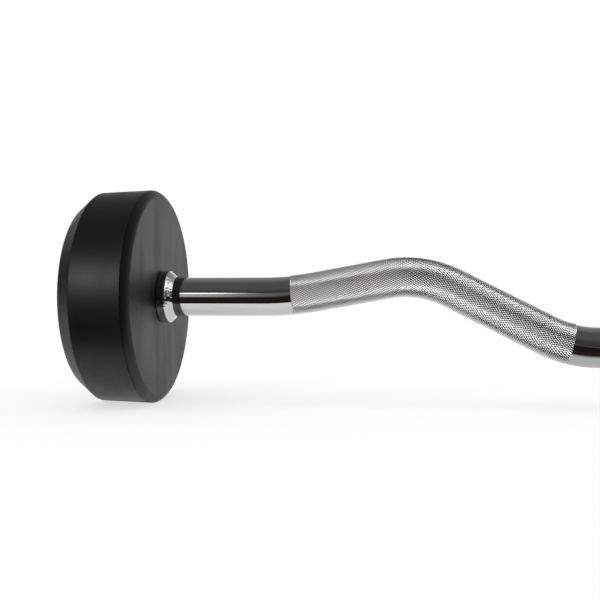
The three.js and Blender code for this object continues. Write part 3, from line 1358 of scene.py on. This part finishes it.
# The jacket is black rubber moulded round the core. Its inner face has a narrow rounded shoulder that ends
# in a fine moulded groove, its wall tapers a little, and its outer edge is a broad chamfer round the plug's
# recess.
def arc_between(start, end, crown, steps):
    """Points of the arc that stands a crown's height outside the way from start to end."""
    start = Vector(start)
    chord = Vector(end) - start
    radius = (chord.length_squared / 4 + crown * crown) / 2 / crown
    half = math.asin(chord.length / 2 / radius)
    outwards = Vector((chord.y, -chord.x)).normalized()
    centre = start + chord / 2 - outwards * (radius * math.cos(half))
    return [
        centre + Matrix.Rotation(half * (2 * i / steps - 1), 2) @ outwards * radius for i in range(steps + 1)
    ]


draw_stretch = (1, 1, 0.22)
rubber_shine = 0.04
rubber_dullness = 0.05


def black_rubber(name, dark, light, roughness, grain_scale, grain_depth):
    """Moulded rubber with a fine grain, a faint draw up the wall, and scuffs from dark to light."""
    made = empty_material(name)
    tree = made.node_tree
    drawn = place_of(tree, draw_stretch)
    marks = use_group(tree, marks_tree, {"Place": drawn, "Patch Scale": 45.0, "Scuff Scale": 230.0})
    grain = use_group(tree, grain_tree, {"Place": place_of(tree), "Scale": grain_scale})
    low, high = roughness - rubber_shine, roughness + rubber_dullness
    principled(
        tree,
        {
            "Base Color": blended(tree, marks["Scuffs"], dark, light),
            "Roughness": ranged(tree, marks["Patches"], low, high),
            "Specular IOR Level": 0.36,
            "Normal": bump(tree, grain["Height"], grain_depth),
        },
    )
    return made


head_rubber = black_rubber(
    "head_rubber",
    dark=(0.0085, 0.0085, 0.009, 1),
    light=(0.0135, 0.0135, 0.014, 1),
    roughness=0.46,
    grain_scale=1400.0,
    grain_depth=0.00004,
)
head_radius = axis_height
head_thickness = jacket_high.x - jacket_low.x
shoulder_width = 0.0053
shoulder_depth = 0.0054
shoulder_crown = 0.0008
shoulder_steps = 10
groove_width = 0.0009
groove_depth = 0.0005
wall_draft = 0.0012
chamfer_width = 0.010
chamfer_depth = 0.0122
chamfer_fillet = 0.0016
recess_radius = 0.030
recess_fillet = 0.0006
rubber_wall = 0.006
core_break = 0.002
jacket_sides = 192
jacket_crease = math.radians(16)

core_start = rubber_wall
core_end = head_thickness - rubber_wall
core_radius = head_radius - rubber_wall
outer_face_radius = head_radius - wall_draft - chamfer_width
slant = math.hypot(chamfer_width, chamfer_depth) / chamfer_depth
spread = chamfer_width / chamfer_depth
core_chamfer_end = outer_face_radius + rubber_wall * spread - rubber_wall * slant
core_chamfer_start = core_end - (core_radius - core_chamfer_end) / spread
shoulder_inner = (head_radius - shoulder_width, 0)
shoulder_outer = (head_radius, shoulder_depth - groove_width / 2)
shoulder = arc_between(shoulder_inner, shoulder_outer, shoulder_crown, shoulder_steps)
jacket_outline = rounded(
    [
        (bar_radius + fit_gap, 0, fit_gap),
        *[(*point, 0) for point in shoulder],
        (head_radius - groove_depth, shoulder_depth, 0),
        (head_radius, shoulder_depth + groove_width / 2, 0),
        (head_radius - wall_draft, head_thickness - chamfer_depth, chamfer_fillet),
        (outer_face_radius, head_thickness, chamfer_fillet),
        (recess_radius, head_thickness, recess_fillet),
        (recess_radius, core_end + fit_gap, 0),
        (core_chamfer_end + fit_gap, core_end + fit_gap, 0),
        (core_radius + fit_gap, core_chamfer_start + fit_gap, 0),
        (core_radius + fit_gap, core_start + core_break - fit_gap, 0),
        (core_radius - core_break + fit_gap, core_start - fit_gap, 0),
        (bar_radius + fit_gap, core_start - fit_gap, 0),
    ]
)
turned_pair(
    "moulded_jacket",
    jacket_outline,
    jacket_sides,
    head_rubber,
    "head_jacket",
    sharp=jacket_crease,
)


# The plug is a plain disc of harder rubber with a moulded rim. It lies in the outer face of the head, and its
# skirt grips the wall of the bolt's recess.
plug_rubber = black_rubber(
    "plug_rubber",
    dark=(0.0075, 0.0075, 0.008, 1),
    light=(0.012, 0.012, 0.0125, 1),
    roughness=0.55,
    grain_scale=1100.0,
    grain_depth=0.00006,
)
plug_sunk = 0.0005
plug_edge = 0.0012
plug_skirt_depth = 0.005
plug_skirt_wall = 0.0035
plug_rim_width = 0.003
plug_dish = 0.0004
bolt_recess_radius = 0.022
plug_radius = recess_radius - fit_gap
skirt_radius = bolt_recess_radius - fit_gap
plug_face = head_thickness - plug_sunk
plug_seat = core_end + fit_gap
skirt_end = core_end - plug_skirt_depth
plug_sides = 128
plug_outline = rounded(
    [
        (0, plug_seat, 0),
        (skirt_radius - plug_skirt_wall, plug_seat, 0),
        (skirt_radius - plug_skirt_wall, skirt_end, fit_gap),
        (skirt_radius, skirt_end, fit_gap),
        (skirt_radius, plug_seat, 0),
        (plug_radius, plug_seat, 0),
        (plug_radius, plug_face, plug_edge),
        (plug_radius - plug_rim_width, plug_face, fit_gap),
        (plug_radius - plug_rim_width - plug_dish, plug_face - plug_dish, fit_gap),
        (0, plug_face - plug_dish, 0),
    ]
)
turned_pair("moulded_plug", plug_outline, plug_sides, plug_rubber, "end_plug")
